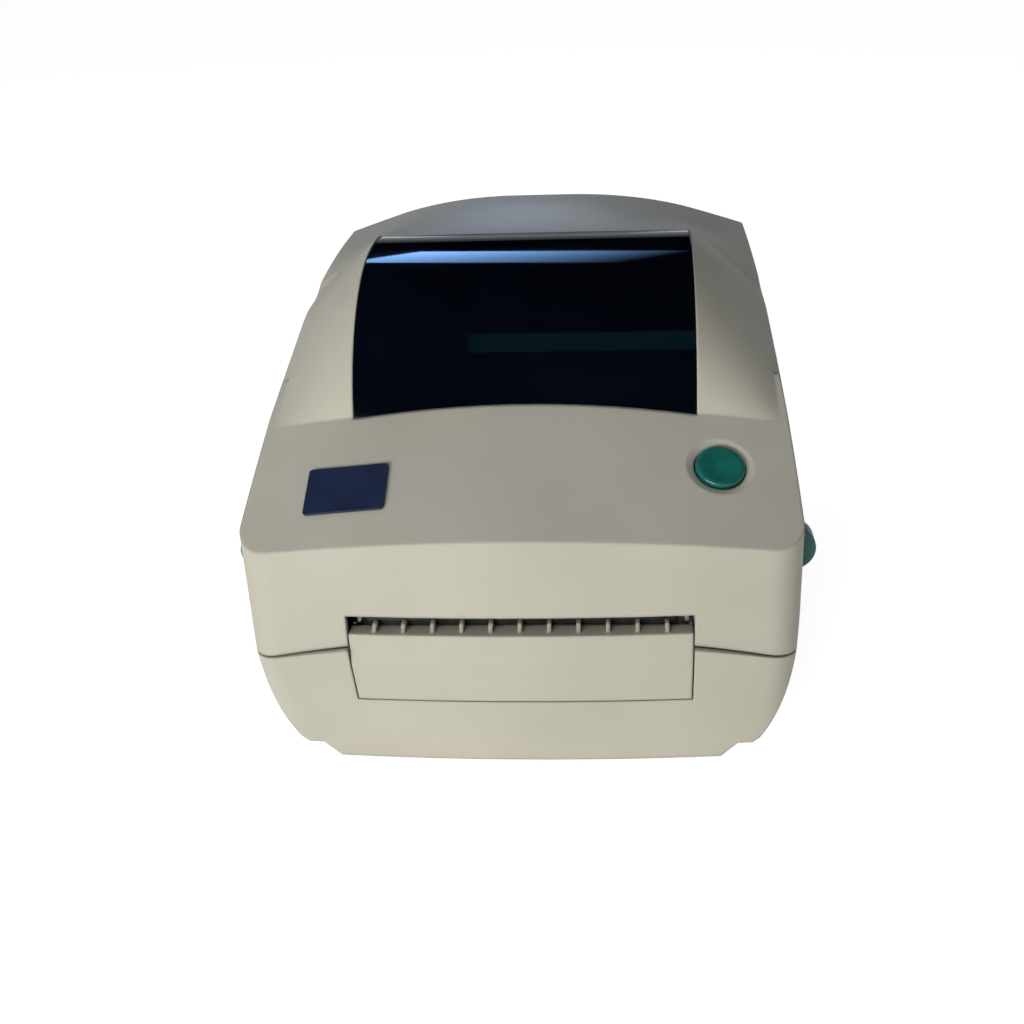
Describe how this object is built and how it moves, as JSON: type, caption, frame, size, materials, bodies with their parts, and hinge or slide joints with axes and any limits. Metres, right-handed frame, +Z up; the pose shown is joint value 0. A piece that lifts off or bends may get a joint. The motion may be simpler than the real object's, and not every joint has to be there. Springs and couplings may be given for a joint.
{
  "type": "thermal label printer",
  "caption": "Desktop direct thermal label printer with a hinged top cover, tinted roll window, ribbed label slot, feed button and side latches.",
  "frame": {"origin": "centre of the bounding box's footprint, on the plane of the rubber feet", "axes": "+X to the right as seen from the front, -Y to the front where labels come out, +Z up"},
  "size_m": [0.214, 0.2215, 0.1701],
  "materials": {
    "casing_plastic": "fine textured warm grey moulding",
    "window_tint": "glossy near-black tinted moulding",
    "badge_navy": "smooth dark navy plate, bare",
    "teal_plastic": "satin teal moulding",
    "inner_plastic": "dark grey moulding",
    "gear_acetal": "natural white acetal",
    "steel_sheet": "zinc plated sheet",
    "steel_bar": "ground bar and screws",
    "platen_rubber": "ground black roller rubber",
    "foot_rubber": "soft dark rubber",
    "head_alloy": "extruded finned bar",
    "head_ceramic": "glazed ceramic substrate",
    "board_laminate": "green circuit laminate",
    "chip_epoxy": "black moulded parts",
    "motor_can": "plated motor can",
    "socket_shell": "plated socket shells"
  },
  "bodies": {
    "base": {"base_shell": "casing_plastic", "front_bezel": "casing_plastic", "tear_bar": "steel_sheet", "chassis": "inner_plastic", "side_plate_left": "steel_sheet", "side_plate_right": "steel_sheet", "platen_bushes": "gear_acetal", "idler_post": "steel_bar", "stepper_motor": "motor_can", "main_board": "board_laminate", "board_components": "chip_epoxy", "board_screws": "steel_bar", "case_screws": "steel_bar", "rubber_feet": "foot_rubber", "hinge_pins": "steel_bar", "parallel_socket": "socket_shell", "serial_socket": "socket_shell", "usb_socket": "socket_shell", "power_jack": "inner_plastic", "switch_frame": "inner_plastic", "hanger_axle": "inner_plastic", "gap_sensor": "inner_plastic"},
    "cover": {"top_cover": "casing_plastic", "window": "window_tint", "badge_plate": "badge_navy", "button_board": "board_laminate", "button_switch": "inner_plastic", "head_mount": "inner_plastic", "cover_screws": "steel_bar", "head_pivot_shaft": "steel_bar", "latch_pins": "steel_bar"},
    "button": {"feed_button": "teal_plastic"},
    "print_head": {"head_heatsink": "head_alloy", "head_ceramic": "head_ceramic", "head_bracket": "steel_sheet", "head_connector": "inner_plastic"},
    "latch_left": {"latch_left": "teal_plastic"},
    "latch_right": {"latch_right": "teal_plastic"},
    "platen": {"platen_shaft": "steel_bar", "platen_rubber": "platen_rubber", "platen_gear": "gear_acetal"},
    "idler": {"idler_gear": "gear_acetal"},
    "rotor": {"motor_shaft": "steel_bar", "motor_pinion": "gear_acetal"},
    "hanger_left": {"hanger_left": "inner_plastic"},
    "hanger_right": {"hanger_right": "inner_plastic"},
    "hub_left": {"hub_left": "teal_plastic"},
    "hub_right": {"hub_right": "teal_plastic"},
    "hanger_pinion": {"hanger_pinion": "gear_acetal"},
    "guide_left": {"guide_left": "inner_plastic"},
    "guide_right": {"guide_right": "inner_plastic"},
    "guide_pinion": {"guide_pinion": "gear_acetal"},
    "rocker": {"power_rocker": "inner_plastic"}
  },
  "joints": [
    {"name": "cover_hinge", "type": "hinge", "parent": "base", "child": "cover", "pos_m": [0, 0.1065, 0.0505], "axis": [-1, 0, 0], "range_deg": [0, 85]},
    {"name": "latch_left_turn", "type": "hinge", "parent": "cover", "child": "latch_left", "pos_m": [-0.0875, -0.072, 0.062], "axis": [1, 0, 0], "range_deg": [0, 14], "stiffness_Nm_per_rad": 0.06, "springref_deg": -17.19},
    {"name": "latch_right_turn", "type": "hinge", "parent": "cover", "child": "latch_right", "pos_m": [0.0875, -0.072, 0.062], "axis": [1, 0, 0], "range_deg": [0, 14], "stiffness_Nm_per_rad": 0.06, "springref_deg": -17.19},
    {"name": "feed_button_press", "type": "slide", "parent": "cover", "child": "button", "axis": [-0.1133, 0.4171, -0.9018], "range_m": [0, 0.0012], "stiffness_N_per_m": 700, "springref_m": -0.001},
    {"name": "print_head_float", "type": "hinge", "parent": "cover", "child": "print_head", "pos_m": [0, -0.058, 0.084], "axis": [-1, 0, 0], "range_deg": [0, 3], "stiffness_Nm_per_rad": 2, "springref_deg": -11.46},
    {"name": "platen_spin", "type": "hinge", "parent": "base", "child": "platen", "pos_m": [0, -0.09, 0.057], "axis": [1, 0, 0], "continuous": true},
    {"name": "idler_spin", "type": "hinge", "parent": "base", "child": "idler", "pos_m": [0.065, -0.07882, 0.04367], "axis": [1, 0, 0], "continuous": true},
    {"name": "motor_spin", "type": "hinge", "parent": "base", "child": "rotor", "pos_m": [0.065, -0.06647, 0.02896], "axis": [1, 0, 0], "continuous": true},
    {"name": "hanger_right_slide", "type": "slide", "parent": "base", "child": "hanger_right", "axis": [-1, 0, 0], "range_m": [0, 0.04]},
    {"name": "hanger_left_slide", "type": "slide", "parent": "base", "child": "hanger_left", "axis": [1, 0, 0], "range_m": [0, 0.04]},
    {"name": "hanger_pinion_spin", "type": "hinge", "parent": "base", "child": "hanger_pinion", "pos_m": [0, 0.018, 0.023], "axis": [0, 0, 1], "range_deg": [-287, 1]},
    {"name": "hub_right_spin", "type": "hinge", "parent": "hanger_right", "child": "hub_right", "pos_m": [0.055, 0.018, 0.097], "axis": [1, 0, 0], "continuous": true},
    {"name": "hub_left_spin", "type": "hinge", "parent": "hanger_left", "child": "hub_left", "pos_m": [-0.055, 0.018, 0.097], "axis": [1, 0, 0], "continuous": true},
    {"name": "guide_right_slide", "type": "slide", "parent": "base", "child": "guide_right", "axis": [-1, 0, 0], "range_m": [0, 0.035]},
    {"name": "guide_left_slide", "type": "slide", "parent": "base", "child": "guide_left", "axis": [1, 0, 0], "range_m": [0, 0.035]},
    {"name": "guide_pinion_spin", "type": "hinge", "parent": "base", "child": "guide_pinion", "pos_m": [0, -0.06, 0.052], "axis": [0, 0, 1], "range_deg": [-335, 1]},
    {"name": "power_rocker_tilt", "type": "hinge", "parent": "base", "child": "rocker", "pos_m": [0.074, 0.1035, 0.026], "axis": [0, 0, -1], "range_deg": [0, 18]}
  ],
  "couplings": [
    {"joint": "idler_spin", "follows": "platen_spin", "ratio": -2.2222},
    {"joint": "motor_spin", "follows": "platen_spin", "ratio": 7.9365},
    {"joint": "hanger_left_slide", "follows": "hanger_right_slide", "ratio": 1},
    {"joint": "hanger_pinion_spin", "follows": "hanger_right_slide", "rad_per_m": -125},
    {"joint": "guide_left_slide", "follows": "guide_right_slide", "ratio": 1},
    {"joint": "guide_pinion_spin", "follows": "guide_right_slide", "rad_per_m": -166.67}
  ]
}
